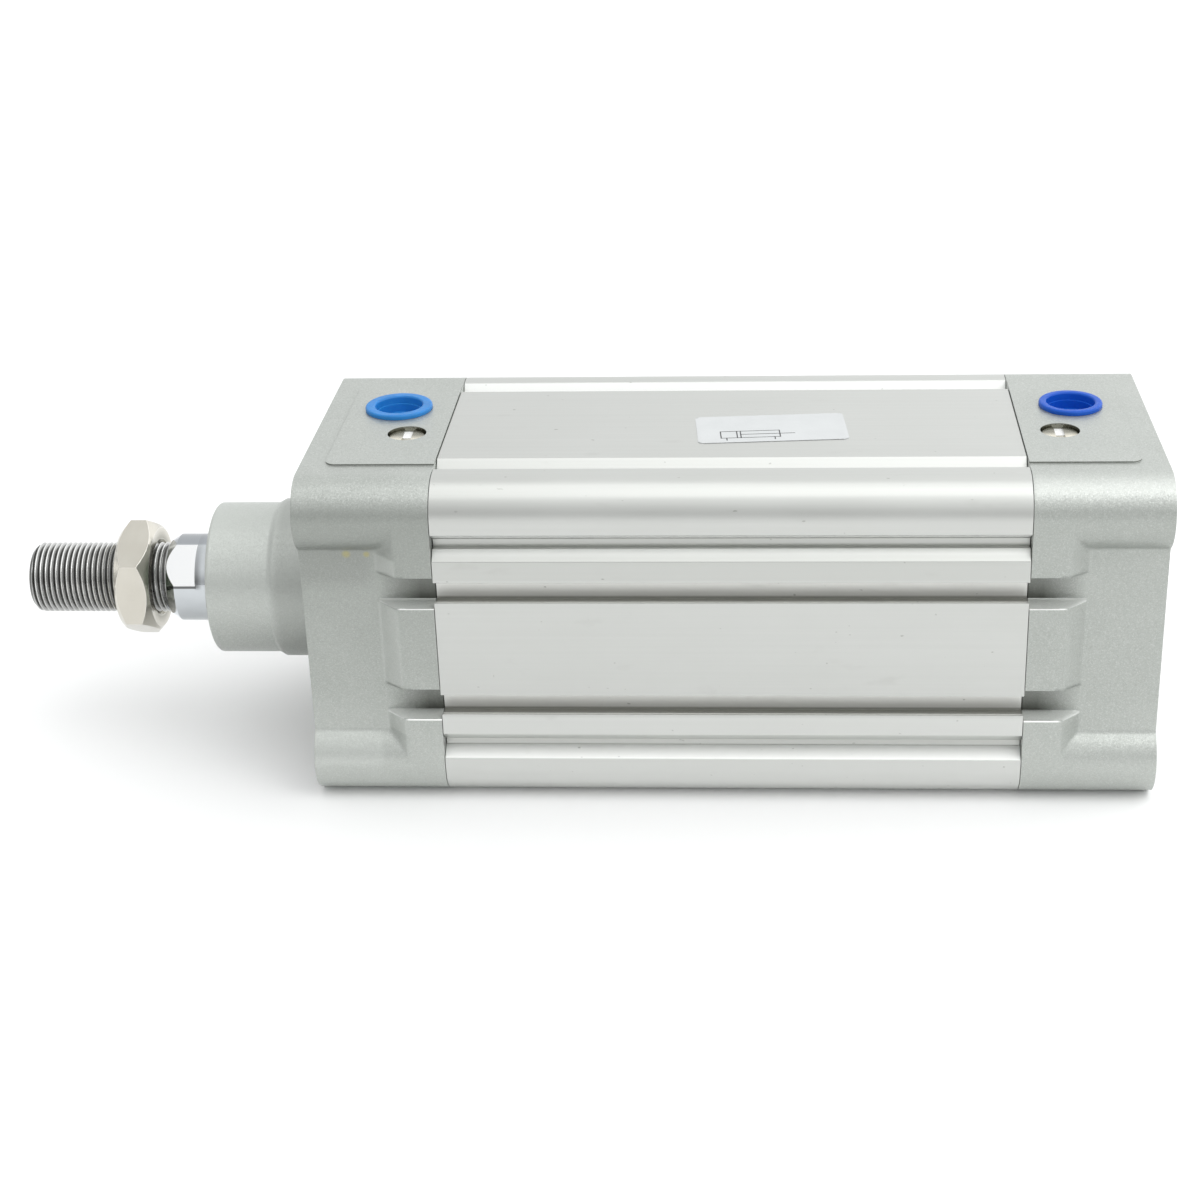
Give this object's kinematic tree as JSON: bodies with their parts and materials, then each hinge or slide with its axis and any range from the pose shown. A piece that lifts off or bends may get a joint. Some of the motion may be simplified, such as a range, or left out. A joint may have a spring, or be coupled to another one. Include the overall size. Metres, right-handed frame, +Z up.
{
  "type": "pneumatic cylinder",
  "caption": "Double-acting profile-tube pneumatic cylinder with square end caps, adjustable cushioning, threaded rod with jam nut and plugged air ports.",
  "frame": {"origin": "centre of the front mounting face, on the rod axis", "axes": "+X from the front cap to the rear cap along the rod axis, so the rod comes out to -X; +Z up, the side with both air ports"},
  "size_m": [0.314, 0.093, 0.0948],
  "materials": {
    "anodised_tube": "satin clear anodised extrusion",
    "cap_coating": "die cast, sprayed with a light grey metallic lacquer",
    "zinc_steel": "zinc plated",
    "nickelled_steel": "nickel plated, slightly warm",
    "chromed_steel": "hard chromed and ground, thread bare steel",
    "black_rubber": "moulded nitrile rubber",
    "polyurethane": "moulded polyurethane",
    "bronze": "sintered, oiled",
    "label_paper": "matt white",
    "guide_plastic": "moulded bearing plastic",
    "turned_aluminium": "turned",
    "bonded_magnet": "plastic-bonded ferrite",
    "light_blue_plastic": "moulded polyethylene",
    "deep_blue_plastic": "moulded polyethylene",
    "nickelled_brass": "nickel plated"
  },
  "bodies": {
    "barrel": {"profile_tube": "anodised_tube", "front_cap": "cap_coating", "front_nose": "cap_coating", "rear_cap": "cap_coating", "front_cap_screws": "zinc_steel", "rear_cap_screws": "zinc_steel", "front_tube_seal": "black_rubber", "rear_tube_seal": "black_rubber", "front_cushion_seal": "polyurethane", "rear_cushion_seal": "polyurethane", "rod_bearing": "bronze", "rod_seal": "polyurethane", "label": "label_paper"},
    "piston_rings": {"front_piston_seal": "polyurethane", "rear_piston_seal": "polyurethane", "guide_ring": "guide_plastic"},
    "rod": {"piston_rod": "chromed_steel", "front_piston_half": "turned_aluminium", "rear_piston_half": "turned_aluminium", "piston_magnet": "bonded_magnet", "rod_o_ring": "black_rubber", "front_bumper": "black_rubber", "rear_bumper": "black_rubber", "front_cushion_spear": "turned_aluminium", "rear_cushion_spear": "turned_aluminium", "piston_nut": "zinc_steel"},
    "jam_nut": {"rod_nut": "nickelled_steel"},
    "front_plug": {"front_port_plug": "light_blue_plastic"},
    "rear_plug": {"rear_port_plug": "deep_blue_plastic"},
    "front_needle_ring": {"front_needle_seal": "black_rubber"},
    "rear_needle_ring": {"rear_needle_seal": "black_rubber"},
    "front_needle": {"front_cushion_needle": "nickelled_brass"},
    "rear_needle": {"rear_cushion_needle": "nickelled_brass"}
  },
  "joints": [
    {"name": "rod_slide", "type": "slide", "parent": "barrel", "child": "piston_rings", "axis": [-1, 0, 0], "range_m": [0, 0.1]},
    {"name": "rod_turn", "type": "hinge", "parent": "piston_rings", "child": "rod", "pos_m": [0, 0, 0], "axis": [1, 0, 0], "continuous": true},
    {"name": "nut_turn", "type": "hinge", "parent": "rod", "child": "jam_nut", "pos_m": [-0.055, 0, 0], "axis": [1, 0, 0], "continuous": true},
    {"name": "front_plug_pull", "type": "slide", "parent": "barrel", "child": "front_plug", "axis": [0, 0, 1], "range_m": [0, 0.03]},
    {"name": "rear_plug_pull", "type": "slide", "parent": "barrel", "child": "rear_plug", "axis": [0, 0, 1], "range_m": [0, 0.03]},
    {"name": "front_needle_travel", "type": "slide", "parent": "barrel", "child": "front_needle_ring", "axis": [0, 0, 1], "range_m": [-0.00151, 0.00151]},
    {"name": "front_needle_turn", "type": "hinge", "parent": "front_needle_ring", "child": "front_needle", "pos_m": [0.0255, -0.008, 0], "axis": [0, 0, 1], "range_deg": [-540, 540]},
    {"name": "rear_needle_travel", "type": "slide", "parent": "barrel", "child": "rear_needle_ring", "axis": [0, 0, 1], "range_m": [-0.00151, 0.00151]},
    {"name": "rear_needle_turn", "type": "hinge", "parent": "rear_needle_ring", "child": "rear_needle", "pos_m": [0.2025, -0.008, 0], "axis": [0, 0, 1], "range_deg": [-540, 540]}
  ],
  "couplings": [
    {"joint": "front_needle_travel", "follows": "front_needle_turn", "m_per_rad": 0.00015915},
    {"joint": "rear_needle_travel", "follows": "rear_needle_turn", "m_per_rad": 0.00015915}
  ]
}
